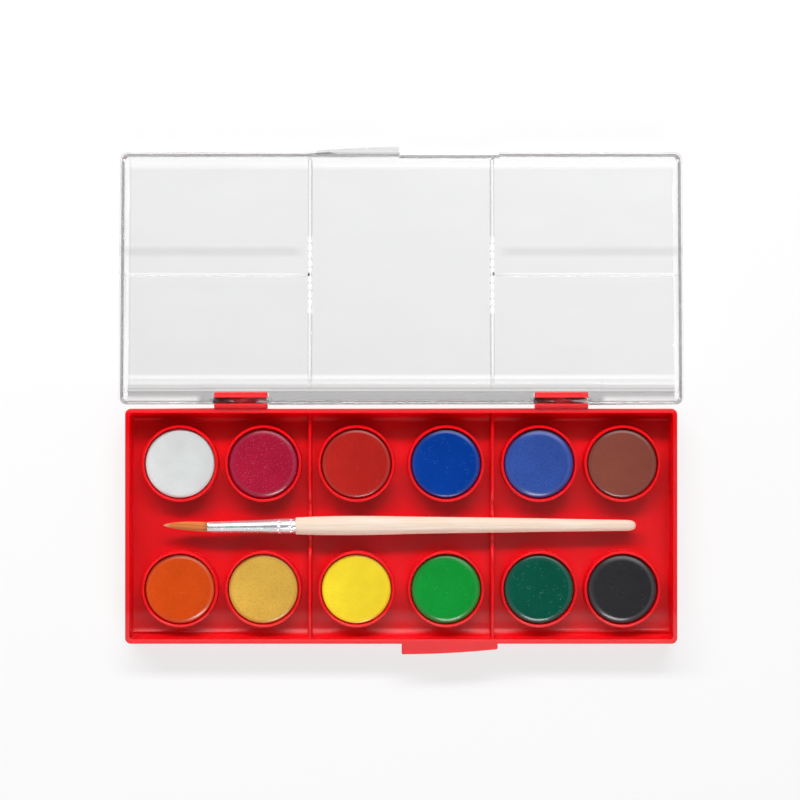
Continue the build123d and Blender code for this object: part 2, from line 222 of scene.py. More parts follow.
def scratches(tree, stretch, size, width, seed):
    """Thin wandering lines: 1 where a stretched cloud pattern crosses its middle value."""
    cloud = noise(tree, place_of(tree, stretch=stretch, turn=0.3 * seed), size, 1.0, seed)
    return spread(tree, apart(tree, cloud, 0.5), 0.0, width, 1.0, 0.0)


def profile(tree, place, stops):
    """Level at a place: straight lines through the stops, pairs of a place in mm and its level."""
    low, high = stops[0][0], stops[-1][0]
    node = tree.nodes.new("ShaderNodeValToRGB")
    ramp = node.color_ramp
    for where, level in stops[1:-1]:
        ramp.elements.new((where - low) / (high - low)).color = (level, level, level, 1)
    ramp.elements[0].color = (stops[0][1], stops[0][1], stops[0][1], 1)
    ramp.elements[-1].color = (stops[-1][1], stops[-1][1], stops[-1][1], 1)
    tree.links.new(spread(tree, place, low * mm, high * mm), node.inputs[0])
    return node.outputs[0]


def red_polystyrene():
    """Glossy red: two near reds in flow clouds, a soft ripple and fine scratches. Red light spreads a
    few millimetres inside the thin walls. The gloss is uneven: it follows red_gloss from front to
    back, and use has rubbed the top of the rim dull."""
    material, tree, shader = new_material("red_polystyrene")
    flow = noise(tree, place_of(tree, stretch=(1, 2, 1)), 28 * mm, 3.0, 1.0)
    colour = mix_colours(tree, spread(tree, flow, 0.3, 0.7), linear(222, 2, 18), linear(227, 4, 22))
    tree.links.new(colour, shader.inputs["Base Color"])
    smear = noise(tree, place_of(tree), 7 * mm, 4.0, 2.0)
    lines = scratches(tree, (1, 9, 1), 9 * mm, 0.003, 3.0)
    dull = spread(tree, smear, 0.3, 0.7, 0.34, 0.42)
    rough = arithmetic(tree, "ADD", dull, product(tree, lines, 0.06))
    ripple = relief(tree, noise(tree, place_of(tree), 9 * mm, 1.0, 4.0), 0.004 * mm)
    tree.links.new(relief(tree, lines, -0.0008 * mm, ripple), shader.inputs["Normal"])
    shader.inputs["IOR"].default_value = 1.55
    shader.inputs["Subsurface Weight"].default_value = 0.9
    shader.inputs["Subsurface Radius"].default_value = (1.0, 0.02, 0.02)
    shader.inputs["Subsurface Scale"].default_value = 2.5 * mm
    _, y, z = axes(tree, place_of(tree))
    rubbed = spread(tree, z, 9.9 * mm, 10.3 * mm, 0.0, 0.18)
    tree.links.new(arithmetic(tree, "ADD", rough, rubbed), shader.inputs["Roughness"])
    tree.links.new(profile(tree, y, red_gloss), shader.inputs["Specular IOR Level"])
    return material


red = red_polystyrene()
tablet_boxes = [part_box(node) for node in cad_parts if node.startswith("paint_")]
cup_middles = [((low[0] + high[0]) / 2, (low[1] + high[1]) / 2) for low, high in tablet_boxes]
tray_edge_round = 0.2 * mm
tray = moulding("tray_moulding", "tray", tray_edge_round, cup_middles)
fit(tray, "tray", "box", red)

# Paint tablets. Twelve pressed discs of dry watercolour, one in each cup. The press leaves a
# flat face with a faint ring near its edge and a worn, glazed shoulder where a wet brush
# has run round it. Each pigment has its own grain, specks and gloss.
tablet_turn = 180
shoulder_slope = 0.32
dish_depth = 0.12 * mm
pressed_ring = 0.04 * mm
edge_drop = 0.3 * mm
below_node_top = 0.05 * mm


def closed_turn(profile_radius, profile_height, centre, angle, wobble):
    """Vertices and faces of a profile turned about an upright axis through centre, with a step at
    each angle. Its first and last points lie on the axis and become one vertex each, so the shell
    is closed. wobble is added to the height, one value for each ring and step."""
    ring_radius = profile_radius[1:-1, None]
    ring_height = profile_height[1:-1, None] + wobble
    rings = np.stack([
        centre[0] + ring_radius * np.cos(angle),
        centre[1] + ring_radius * np.sin(angle),
        centre[2] + ring_height,
    ], axis=-1).reshape(-1, 3)
    poles = np.array([
        [centre[0], centre[1], centre[2] + profile_height[0]],
        [centre[0], centre[1], centre[2] + profile_height[-1]],
    ])
    return np.vstack([rings, poles]), ring_faces(len(profile_radius) - 2, len(angle))


def ring_faces(ring_count, turn_count):
    """Quads between neighbouring rings of a grid, and a fan at each end to its pole vertex."""
    step = np.arange(turn_count)
    following = (step + 1) % turn_count
    quads = [
        np.stack([
            ring * turn_count + step, (ring + 1) * turn_count + step,
            (ring + 1) * turn_count + following, ring * turn_count + following,
        ], axis=1)
        for ring in range(ring_count - 1)
    ]
    last = (ring_count - 1) * turn_count
    top = np.full(turn_count, ring_count * turn_count)
    fans = [
        np.stack([top, step, following], axis=1),
        np.stack([top + 1, last + following, last + step], axis=1),
    ]
    return [face for block in quads + fans for face in block.tolist()]


def shell(name, points, faces, crease=40):
    """Smooth piece of those points and faces, with a hard edge where it turns by over crease
    degrees."""
    mesh = bpy.data.meshes.new(name)
    mesh.from_pydata(points.tolist(), [], faces)
    mesh.validate()
    work = bmesh.new()
    work.from_mesh(mesh)
    bmesh.ops.recalc_face_normals(work, faces=work.faces)
    work.to_mesh(mesh)
    work.free()
    mesh.shade_smooth()
    mesh.set_sharp_from_angle(angle=math.radians(crease))
    piece = bpy.data.objects.new(name, mesh)
    bpy.context.scene.collection.objects.link(piece)
    return piece


def tablet_mesh(name, node, face_share, seed):
    """Disc of the node's size. From the middle out its height is a shallow dish, a low ring at
    face_share, a shoulder that falls with a power of the way out, a rounded edge and a side."""
    low, high = (np.array(corner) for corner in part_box(node))
    radius = (high[0] - low[0]) / 2
    thickness = high[2] - low[2]
    centre = ((low[0] + high[0]) / 2, (low[1] + high[1]) / 2, low[2])
    share = np.concatenate([
        np.linspace(0, 0.76, 16), np.linspace(0.775, 0.99, 30), [0.996, 0.999, 1.0],
    ])
    out = np.clip((share - face_share) / (1 - face_share), 0, 1)
    dish = -dish_depth * np.clip(1 - (share / (face_share - 0.03)) ** 2, 0, 1) ** 0.8
    ring = pressed_ring * np.exp(-(((share - face_share + 0.01) / 0.014) ** 2))
    edge = -edge_drop * np.clip((share - 0.97) / 0.03, 0, 1) ** 3
    fall = shoulder_slope * (1 - face_share) * radius
    top = thickness - below_node_top + dish + ring - fall * out**1.7 + edge
    bottom_share = np.array([1.0, 1.0, 0.985, 0.5, 0.0])
    bottom = np.array([0.45, 0.12, 0.0, 0.0, 0.0]) * mm
    random = np.random.default_rng(seed)
    angle = np.linspace(0, 2 * np.pi, tablet_turn, endpoint=False)
    waves = sum(
        random.normal(0, 0.035 * mm / lobes) * np.cos(lobes * angle + random.uniform(0, 6.3))
        for lobes in range(1, 7)
    )
    profile_radius = np.concatenate([share, bottom_share]) * radius
    profile_height = np.concatenate([top, bottom])
    worn = np.concatenate([np.sin(np.pi * out), np.zeros(len(bottom))])[1:-1, None] * waves
    points, faces = closed_turn(profile_radius, profile_height, centre, angle, worn)
    return shell(name, points, faces), centre


def distance_of(tree, where):
    """Length of the straight way from the origin to the place."""
    length = tree.nodes.new("ShaderNodeVectorMath")
    length.operation = "LENGTH"
    tree.links.new(where, length.inputs[0])
    return length.outputs["Value"]


def paint_material(name, centre, rim, face, shoulder, grain, speck, specks, dullness):
    """Dry paint: cloudy colour with fine grain, a darker or glazed shoulder beyond the pressed ring,
    specks of another colour, and a faint swirl that the press has left. A painted sheen makes each face
    lighter towards its front left and darker towards its back right."""
    material, tree, shader = new_material("watercolour_" + name)
    here = place_of(tree, centre)
    flat = place_of(tree, centre, (1, 1, 0))
    distance = distance_of(tree, flat)
    outer = spread(tree, distance, rim - 0.4 * mm, rim + 0.3 * mm)
    cloud = noise(tree, here, 7 * mm, 3.0, centre[0] * 100)
    fine = noise(tree, here, 0.35 * mm, 3.0, 5.0)
    x, y, _ = axes(tree, here)
    # Painted sheen and shade: the face goes lighter towards the front left and darker towards the back
    # right, mixed with the colour clouds.
    painted_sheen_side = spread(tree, arithmetic(tree, "ADD", x, y), -12 * mm, 12 * mm, 1.0, 0.0)
    bright = blend(tree, 0.45, painted_sheen_side, spread(tree, cloud, 0.3, 0.7))
    dark = [c * 0.84 for c in face[:3]] + [1.0]
    light = [min(c * 1.14 + 0.002, 1.0) for c in face[:3]] + [1.0]
    colour = mix_colours(tree, bright, dark, light)
    low = [c * (1 - grain) for c in face[:3]] + [1.0]
    colour = mix_colours(tree, spread(tree, fine, 0.52, 0.66, 0.0, 0.8), colour, low)
    colour = mix_colours(tree, product(tree, outer, 0.8), colour, shoulder)
    dots = tree.nodes.new("ShaderNodeTexVoronoi")
    dots.inputs["Scale"].default_value = 1 / (0.62 * mm)
    tree.links.new(here, dots.inputs["Vector"])
    dot = spread(tree, dots.outputs["Distance"], 0.08, 0.20, 1.0, 0.0)
    patches = noise(tree, here, 1.6 * mm, 0.0, 7.0)
    share = product(tree, dot, spread(tree, patches, 0.66 - 0.25 * specks, 0.70 - 0.25 * specks))
    colour = mix_colours(tree, product(tree, share, 0.6), colour, speck)
    tree.links.new(colour, shader.inputs["Base Color"])
    rough = spread(tree, fine, 0.3, 0.7, dullness - 0.06, dullness + 0.08)
    tree.links.new(blend(tree, outer, rough, 0.22), shader.inputs["Roughness"])
    shader.inputs["Specular IOR Level"].default_value = 0.1
    tree.links.new(outer, shader.inputs["Coat Weight"])
    shader.inputs["Coat Roughness"].default_value = 0.2
    shader.inputs["Coat IOR"].default_value = 1.6
    swirl = tree.nodes.new("ShaderNodeTexWave")
    swirl.wave_type = "RINGS"
    swirl.rings_direction = "Z"
    swirl.inputs["Scale"].default_value = 0.32 / mm
    swirl.inputs["Distortion"].default_value = 2.2
    swirl.inputs["Detail Scale"].default_value = 0.6
    tree.links.new(flat, swirl.inputs["Vector"])
    inner = spread(tree, distance, rim - 0.6 * mm, rim, 1.0, 0.15)
    turned = relief(tree, product(tree, swirl.outputs["Fac"], inner), 0.006 * mm)
    grainy = relief(tree, product(tree, fine, inner), 0.09 * mm * grain, turned)
    tree.links.new(relief(tree, share, -0.02 * mm, grainy), shader.inputs["Normal"])
    return material


# Each row: the flat face's share of the radius, the colours of the face and of the shoulder, the
# grain, the specks' colour and share, and how dull the dry paint is.
paints = {
    "white": (0.93, (209, 214, 213), (207, 212, 212), 0.08, (206, 208, 208), 0.5, 0.50),
    "crimson": (0.85, (164, 22, 54), (150, 16, 56), 0.30, (232, 130, 165), 1.25, 0.42),
    "vermilion": (0.90, (176, 34, 28), (160, 44, 34), 0.16, (214, 100, 80), 0.35, 0.40),
    "blue": (0.88, (0, 57, 148), (0, 52, 140), 0.16, (120, 160, 215), 0.35, 0.38),
    "ultramarine": (0.835, (50, 80, 158), (46, 74, 156), 0.55, (24, 44, 110), 0.9, 0.46),
    "brown": (0.89, (128, 68, 56), (118, 64, 54), 0.16, (176, 118, 84), 0.3, 0.42),
    "orange": (0.885, (210, 74, 16), (206, 78, 14), 0.22, (238, 140, 70), 0.6, 0.44),
    "ochre": (0.91, (218, 174, 74), (204, 158, 58), 0.34, (156, 116, 40), 0.7, 0.50),
    "yellow": (0.935, (248, 218, 48), (240, 212, 30), 0.12, (206, 178, 24), 0.7, 0.42),
    "green": (0.86, (12, 148, 52), (16, 134, 44), 0.20, (110, 206, 120), 0.3, 0.42),
    "dark_green": (0.865, (0, 80, 62), (2, 78, 62), 0.26, (150, 205, 190), 0.5, 0.38),
    "black": (0.845, (41, 41, 44), (50, 50, 53), 0.25, (110, 110, 112), 0.3, 0.42),
}
for number, (colour_name, row) in enumerate(paints.items()):
    share, face, shoulder, grain, speck, specks, dullness = row
    node = "paint_" + colour_name
    tablet, middle = tablet_mesh("tablet_" + colour_name, node, share, number)
    rim = share * (middle[0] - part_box(node)[0][0])
    finish = paint_material(
        colour_name, middle, rim, linear(*face), linear(*shoulder), grain, linear(*speck), specks,
        dullness,
    )
    fit(tablet, node, "box", finish)

# Lid. One clear polystyrene moulding that lies open beside the tray and serves as a mixing
# palette: wells between two scalloped dividers, hinge rods in its windows and a finger tab.
# It is bare and clear, with a slight ripple in the walls and hair scratches in the wells. Grey bands and
# lines of painted shade in its colour stand in for the shading of its refraction and shadows.
divider_x = 31.6 * mm
divider_y = 89.0 * mm
divider_half_length = 37.6 * mm
divider_core = 0.65 * mm
divider_edge = 0.56 * mm
cross_rib_y = 86.75 * mm
scallops_half_length = 13.6 * mm
scallop_pitch = 2.75 * mm
rod_x = 55.1 * mm
rod_half_length = 9.1 * mm
tab_x = -14.6 * mm
tab_half_length = 14.6 * mm
tab_foot_y = 128.7 * mm
end_wall_x = 94.5 * mm
far_wall_y = 127.4 * mm
# Place of the soft band of painted shade across the end wells.
painted_shade_band_y = 95.0 * mm
# Painted shade along the lid, in mm from the hinge side to the far wall: grey bands and lines that stand
# in for the shading its refraction and shadows show, darkest along the hinge strip.
painted_shade_along_lid = (
    (41.6, 0.72), (41.95, 0.45), (42.35, 0.62), (42.7, 0.40), (43.4, 0.43), (44.2, 0.48), (45.1, 0.43),
    (45.5, 0.50), (45.95, 0.36), (46.2, 0.26), (46.5, 0.60), (46.85, 0.88), (47.3, 0.66), (47.7, 0.64),
    (48.3, 0.78), (49.0, 0.88), (50.3, 0.78), (50.7, 0.85), (51.0, 1.0), (51.9, 1.0), (52.5, 0.85),
    (123.5, 0.91), (125.0, 1.0), (128.0, 1.0), (129.6, 0.9),
)
# Painted shade: a grey line just inside the left end wall of the lid, in mm across the lid.
left_wall_painted_line = (
    (-97.5, 1.0), (-94.6, 1.0), (-94.4, 0.87), (-93.9, 0.87), (-93.7, 1.0), (97.5, 1.0),
)


def stripe(tree, place, middle, half, soft):
    """1 within half of the middle, falling to 0 over a soft edge."""
    return spread(tree, apart(tree, place, middle), half, half + soft, 1.0, 0.0)


def lid_painted_shade(tree):
    """Painted shade of the clear plastic, by place: grey levels that stand in for the shading its
    refraction and shadows show. It follows the painted shade along the lid from the hinge to the far
    wall, has a painted grey line inside the left end wall and is a little darker towards the left, and
    the outer walls, cross ribs, rods and near corners are clear. The tab is painted a little grey, and
    more so at its foot. The dividers have painted dark edges and a clear core with painted dark specks
    between their scallops, a painted dark line runs along each cross rib's crest, and a soft band of
    painted shade crosses the end wells."""
    x, y, _ = axes(tree, place_of(tree))
    side = arithmetic(tree, "ABSOLUTE", x)
    cloud = noise(tree, place_of(tree, stretch=(1, 3, 1)), 22 * mm, 3.0, 14.0)
    # Painted shade: grey levels along the lid and inside the left end wall, and a little darker towards
    # the left.
    tint = product(
        tree, profile(tree, y, painted_shade_along_lid), spread(tree, x, -90 * mm, 90 * mm, 0.955, 1.0),
        spread(tree, cloud, 0.3, 0.7, 0.98, 1.0), profile(tree, x, left_wall_painted_line),
    )
    tint = blend(tree, spread(tree, side, end_wall_x, end_wall_x + 0.3 * mm), tint, 1.0)
    tint = blend(tree, spread(tree, y, far_wall_y, far_wall_y + 0.4 * mm), tint, 1.0)
    # Painted shade on the tab: a little grey, with a darker grey line at its foot.
    beside_tab = stripe(tree, x, tab_x, tab_half_length, 0.3 * mm)
    on_tab = product(tree, beside_tab, spread(tree, y, tab_foot_y + 0.3 * mm, tab_foot_y + 0.6 * mm))
    tint = blend(tree, on_tab, tint, 0.80)
    on_tab_foot = product(tree, beside_tab, stripe(tree, y, tab_foot_y, 0.3 * mm, 0.2 * mm))
    tint = blend(tree, on_tab_foot, tint, 0.60)
    near_wall = spread(tree, y, 45.4 * mm, 45.9 * mm, 1.0, 0.0)
    on_rod = product(tree, near_wall, stripe(tree, side, rod_x, rod_half_length, 0.2 * mm))
    tint = blend(tree, on_rod, tint, 1.0)
    nearest = spread(tree, y, 43.2 * mm, 45.2 * mm, 1.0, 0.0)
    on_corner = product(tree, spread(tree, side, 69 * mm, 71 * mm), nearest)
    tint = blend(tree, on_corner, tint, 0.95)
    # A soft band of painted shade across the end wells, and a painted dark line along each cross rib's
    # crest.
    in_end_well = spread(tree, side, 33 * mm, 38 * mm)
    on_painted_shade_band = product(tree, stripe(tree, y, painted_shade_band_y, 0.6 * mm, 1.6 * mm), in_end_well)
    tint = product(tree, tint, spread(tree, on_painted_shade_band, 0.0, 1.0, 1.0, 0.87))
    on_rib = product(tree, stripe(tree, y, cross_rib_y, 0.55 * mm, 0.1 * mm), in_end_well)
    rib_crest = stripe(tree, y, cross_rib_y, 0.0, 0.2 * mm)
    tint = blend(tree, on_rib, tint, spread(tree, rib_crest, 0.0, 1.0, 1.0, 0.85))
    # Painted dark lines along the dividers' edges, broken into specks between the scallops; their cores
    # are left clear.
    along_divider = stripe(tree, y, divider_y, divider_half_length, 0.3 * mm)
    on_core = product(tree, stripe(tree, side, divider_x, divider_core, 0.1 * mm), along_divider)
    tint = blend(tree, on_core, tint, 1.0)
    on_edge = stripe(tree, apart(tree, side, divider_x), divider_edge, 0.13 * mm, 0.07 * mm)
    from_rib = arithmetic(tree, "SUBTRACT", y, cross_rib_y)
    from_cusp = arithmetic(tree, "PINGPONG", from_rib, scallop_pitch / 2)
    cusp = spread(tree, from_cusp, 0.15 * mm, 0.4 * mm, 1.0, 0.0)
    scalloped = stripe(tree, y, cross_rib_y, scallops_half_length, 0.2 * mm)
    on_painted_edge_line = product(tree, on_edge, along_divider, blend(tree, scalloped, 1.0, cusp))
    return product(tree, tint, spread(tree, on_painted_edge_line, 0.0, 1.0, 1.0, 0.45))


def clear_polystyrene():
    """Clear plastic that bends light. Rays to the lamps pass straight through it, so its shadow stays
    light. Its colour carries painted shade: grey bands and lines by place. The gloss is broken by
    ripples, smears and hair scratches."""
    material, tree, shader = new_material("clear_polystyrene")
    tree.links.new(lid_painted_shade(tree), shader.inputs["Base Color"])
    shader.inputs["Alpha"].default_value = 0.88
    shader.inputs["Transmission Weight"].default_value = 1.0
    shader.inputs["IOR"].default_value = 1.5
    smear = noise(tree, place_of(tree, stretch=(1, 1.6, 1)), 14 * mm, 4.0, 11.0)
    lines = scratches(tree, (3, 1, 1), 16 * mm, 0.002, 12.0)
    dull = spread(tree, smear, 0.35, 0.7, 0.01, 0.05)
    rough = arithmetic(tree, "ADD", dull, product(tree, lines, 0.1))
    tree.links.new(rough, shader.inputs["Roughness"])
    ripple = relief(tree, noise(tree, place_of(tree), 9 * mm, 1.0, 13.0), 0.003 * mm)
    tree.links.new(relief(tree, lines, -0.001 * mm, ripple), shader.inputs["Normal"])
    path = tree.nodes.new("ShaderNodeLightPath")
    straight = tree.nodes.new("ShaderNodeBsdfTransparent")
    straight.inputs["Color"].default_value = (0.86, 0.87, 0.88, 1)
    mix = tree.nodes.new("ShaderNodeMixShader")
    tree.links.new(path.outputs["Is Shadow Ray"], mix.inputs[0])
    tree.links.new(shader.outputs[0], mix.inputs[1])
    tree.links.new(straight.outputs[0], mix.inputs[2])
    tree.links.new(mix.outputs[0], tree.nodes["Material Output"].inputs["Surface"])
    return material


lid_edge_round = 0.12 * mm
lid = moulding("lid_moulding", "lid", lid_edge_round)
fit(lid, "lid", "lid", clear_polystyrene())

# Brush handle. Turned from pale wood, rubbed smooth and thinly lacquered: it swells behind
# the ferrule and thins to a rounded butt. The ferrule's tenon is hidden inside the metal.


def end_of(node, side):
    """Vertex of a CAD node that lies furthest along x, on the low side or the high side."""
    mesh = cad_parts[node].data
    points = np.empty(len(mesh.vertices) * 3)
    mesh.vertices.foreach_get("co", points)
    points = points.reshape(-1, 3)
    return points[np.argmax(side * points[:, 0])]


brush_tip = end_of("brush_hair", -1)
brush_butt = end_of("brush_handle", 1)
neck_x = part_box("brush_ferrule")[1][0]
mouth_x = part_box("brush_ferrule")[0][0]
belly_x = neck_x + 15.5 * mm
bend_x = np.array([-82.1, -75, -67, -55, -44, -36, -20, 0, 40, 81.2]) * mm
bend_y = np.array([0.1, -0.06, -0.46, -0.36, -0.22, -0.12, -0.02, 0.08, 0.12, 0.0]) * mm


def smooth_through(x, knots, values):
    """Curve through the knots: a cubic on each stretch, with slopes taken from the neighbours."""
    slopes = np.gradient(values, knots)
    index = np.clip(np.searchsorted(knots, x) - 1, 0, len(knots) - 2)
    run = knots[index + 1] - knots[index]
    t = np.clip((x - knots[index]) / run, 0, 1)
    return (
        (2 * t**3 - 3 * t**2 + 1) * values[index] + (t**3 - 2 * t**2 + t) * run * slopes[index]
        + (3 * t**2 - 2 * t**3) * values[index + 1] + (t**3 - t**2) * run * slopes[index + 1]
    )


def brush_centre(x):
    """Centre line of the brush at x: straight from tip to butt, with its slight sideways bend."""
    share = (x - brush_tip[0]) / (brush_butt[0] - brush_tip[0])
    level = brush_tip[2] + share * (brush_butt[2] - brush_tip[2])
    return np.stack([x, smooth_through(x, bend_x, bend_y), level], axis=-1)


def turned_piece(name, x, radius, turn_count):
    """Closed surface turned about the brush's centre line. radius has a value for each x, or one
    for each x and step round; the first and last are points on the line."""
    angle = np.linspace(0, 2 * np.pi, turn_count, endpoint=False)
    centre = brush_centre(x)
    if radius.ndim == 1:
        radius = np.repeat(radius[:, None], turn_count, axis=1)
    rings = np.repeat(centre[1:-1, None, :], turn_count, axis=1)
    rings[..., 1] += radius[1:-1] * np.cos(angle)
    rings[..., 2] += radius[1:-1] * np.sin(angle)
    points = np.vstack([rings.reshape(-1, 3), centre[:1], centre[-1:]])
    return shell(name, points, ring_faces(len(x) - 2, turn_count), 50)


def pale_wood():
    """Pale close-grained wood: long thin streaks along the handle, soft clouds, a few dark pores
    and a thin uneven lacquer."""
    material, tree, shader = new_material("pale_wood")
    along = place_of(tree, stretch=(0.03, 1, 1))
    streak = noise(tree, along, 0.7 * mm, 4.0, 21.0)
    cloud = noise(tree, place_of(tree, stretch=(0.25, 1, 1)), 4 * mm, 2.0, 22.0)
    streaky = spread(tree, streak, 0.35, 0.68)
    colour = mix_colours(tree, streaky, linear(242, 225, 210), linear(230, 206, 183))
    colour = mix_colours(tree, spread(tree, cloud, 0.4, 0.7, 0.0, 0.35), colour, linear(234, 208, 182))
    speckle = noise(tree, place_of(tree, stretch=(0.08, 1, 1)), 0.28 * mm, 1.0, 23.0)
    pore = spread(tree, speckle, 0.70, 0.76)
    colour = mix_colours(tree, product(tree, pore, 0.5), colour, linear(176, 138, 98))
    tree.links.new(colour, shader.inputs["Base Color"])
    tree.links.new(spread(tree, streak, 0.3, 0.7, 0.34, 0.48), shader.inputs["Roughness"])
    grain = relief(tree, streak, 0.02 * mm)
    tree.links.new(relief(tree, pore, -0.02 * mm, grain), shader.inputs["Normal"])
    return material


butt_length = 3.2 * mm
butt_start_x = brush_butt[0] - butt_length
handle_knots = np.array([neck_x, -31.6 * mm, belly_x, 10 * mm, 31.6 * mm, 60 * mm, butt_start_x])
handle_widths = np.array([5.85, 6.2, 6.62, 5.75, 5.2, 4.25, 3.75]) * mm
body_x = np.linspace(neck_x + 0.12 * mm, butt_start_x, 110)
body_radius = smooth_through(body_x, handle_knots, handle_widths) / 2
round_angle = np.linspace(0, np.pi / 2, 15)[1:]
butt_x = butt_start_x + butt_length * np.sin(round_angle)
butt_radius = handle_widths[-1] / 2 * np.cos(round_angle) ** 0.75
start_x = np.array([neck_x, neck_x, neck_x + 0.03 * mm])
start_radius = np.array([0.0, body_radius[0] - 0.16 * mm, body_radius[0] - 0.04 * mm])
handle = turned_piece(
    "turned_handle", np.concatenate([start_x, body_x, butt_x]),
    np.concatenate([start_radius, body_radius, butt_radius]), 96,
)
fit(handle, "brush_handle", "brush", pale_wood())

# Ferrule. A tapered tube drawn from bright aluminium and pressed on to the handle's tenon by
# two rings of small punch marks. Its mouth is rolled over the hair.
ferrule_wall = 0.25 * mm
dimple_rings = (neck_x - 1.6 * mm, neck_x - 5.6 * mm)
dimples_round = 11
dimple_depth = 0.2 * mm


def ferrule_dent(x, angle):
    """Depth of the punch marks: on each ring a band of round dents, spaced evenly, in which a
    bell curve along the tube is multiplied by one round it."""
    dent = np.zeros((len(x), len(angle)))
    for number, ring in enumerate(dimple_rings):
        along = np.exp(-(((x - ring) / (0.55 * mm)) ** 2))
        turn = np.cos(dimples_round * (angle + 0.25 * number))
        dent += along[:, None] * np.clip(0.25 + turn, 0, None)[None, :] ** 1.3
    return dimple_depth * dent / 1.25**1.3


def bright_aluminium():
    """Drawn aluminium: fine lines along the tube break up its reflections, with a few dull marks."""
    material, tree, shader = new_material("bright_aluminium")
    along = place_of(tree, stretch=(0.02, 1, 1))
    drawn = noise(tree, along, 0.16 * mm, 3.0, 31.0)
    dull = noise(tree, place_of(tree), 2.2 * mm, 3.0, 32.0)
    tint = mix_colours(tree, spread(tree, drawn, 0.3, 0.7), (0.80, 0.81, 0.83, 1), (0.93, 0.94, 0.95, 1))
    tree.links.new(tint, shader.inputs["Base Color"])
    shader.inputs["Metallic"].default_value = 0.78
    tree.links.new(spread(tree, dull, 0.35, 0.7, 0.16, 0.30), shader.inputs["Roughness"])
    tree.links.new(relief(tree, drawn, 0.006 * mm), shader.inputs["Normal"])
    return material


ferrule_knots = np.array([mouth_x, -60.9 * mm, -54 * mm, -46 * mm, -42 * mm, -38.5 * mm, neck_x])
ferrule_widths = np.array([3.56, 3.9, 4.12, 4.6, 5.06, 5.12, 4.9]) * mm
lip_round = 0.1 * mm
lip_depth = 0.12 * mm
punched_x = -43.5 * mm
tube_x = np.concatenate([
    np.linspace(mouth_x + lip_round, punched_x - 0.1 * mm, 50),
    np.linspace(punched_x, neck_x - 0.05 * mm, 76),
])
tube_radius = smooth_through(tube_x, ferrule_knots, ferrule_widths) / 2
ferrule_turn = 264
ferrule_angle = np.linspace(0, 2 * np.pi, ferrule_turn, endpoint=False)
outside = tube_radius[:, None] - ferrule_dent(tube_x, ferrule_angle)
lip_angle = np.linspace(-np.pi / 2, np.pi / 2, 8)
lip_x = mouth_x + lip_round - lip_round * np.cos(lip_angle)
lip_radius = tube_radius[0] - lip_depth + lip_depth * np.sin(lip_angle)
inner_x = np.array([mouth_x + 5 * mm, mouth_x + 5 * mm, mouth_x + 2 * mm])
inner_radius = np.array([0.0, 1.0, 1.0]) * (tube_radius[0] - ferrule_wall)
end_x = np.array([neck_x, neck_x])
end_radius = np.array([tube_radius[-1] - 0.05 * mm, 0.0])
full_turn = np.ones(ferrule_turn)
ferrule = turned_piece(
    "crimped_ferrule", np.concatenate([inner_x, lip_x, tube_x, end_x]),
    np.vstack([
        inner_radius[:, None] * full_turn, lip_radius[:, None] * full_turn, outside,
        end_radius[:, None] * full_turn,
    ]),
    ferrule_turn,
)
fit(ferrule, "brush_ferrule", "brush", bright_aluminium())

# Hair. A round tuft of fine dyed bristles, set in resin inside the ferrule. It swells just
# outside the mouth and gathers to a wet-shaped point, where single tips show lighter.
hair_count = 620
hair_steps = 15
hair_sides = 4
hair_length = mouth_x - brush_tip[0]
hair_root_x = mouth_x + 1.2 * mm
bristle_radius = 0.075 * mm


def tuft_radius(run):
    """Radius of the tuft at a share of its free length from the ferrule: it swells from the mouth's
    width by a fifth of the way, and then falls to the point on a power curve."""
    swell = 1.60 + 0.06 * np.sin(np.pi * np.clip(run / 0.4, 0, 1))
    fall = np.clip(1 - run, 0, 1) ** 0.62 * (1 + 0.62 * np.clip(run, 0, 1))
    return np.where(run < 0, 1.45, np.minimum(swell, 1.62 * fall)) * mm


def tuft_points(random):
    """Points of every bristle's tube: step along it, bristle, side round it, three coordinates. A
    bristle keeps its share of the tuft's radius and its angle, both drifting a little, and stops at
    its own length."""
    ring = np.sqrt(random.uniform(0, 1, hair_count))
    ring = np.where(np.arange(hair_count) % 2 == 0, 0.9 + 0.1 * ring, ring)
    turn = random.uniform(0, 2 * np.pi, hair_count)
    reach = np.clip(1 - random.exponential(0.05, hair_count), 0.72, 0.995)
    share = np.linspace(0, 1, hair_steps)[:, None]
    x = hair_root_x + share * (mouth_x - reach * hair_length - hair_root_x)
    run = (mouth_x - x) / hair_length
    radius = tuft_radius(run) * ring * (1 + random.normal(0, 0.02, hair_count) * share)
    drift = turn + random.normal(0, 0.10, hair_count) * share
    centre = brush_centre(x.ravel()).reshape(hair_steps, hair_count, 3)
    centre[..., 1] += radius * np.cos(drift)
    centre[..., 2] += radius * np.sin(drift)
    thick = bristle_radius * (1 - 0.85 * share**2.2) * random.uniform(0.8, 1.2, hair_count)
    side = np.arange(hair_sides) * 2 * np.pi / hair_sides
    tube = np.repeat(centre[:, :, None, :], hair_sides, axis=2)
    tube[..., 1] += thick[..., None] * np.cos(side)
    tube[..., 2] += thick[..., None] * np.sin(side)
    return tube, np.repeat(run[..., None], hair_sides, axis=2)


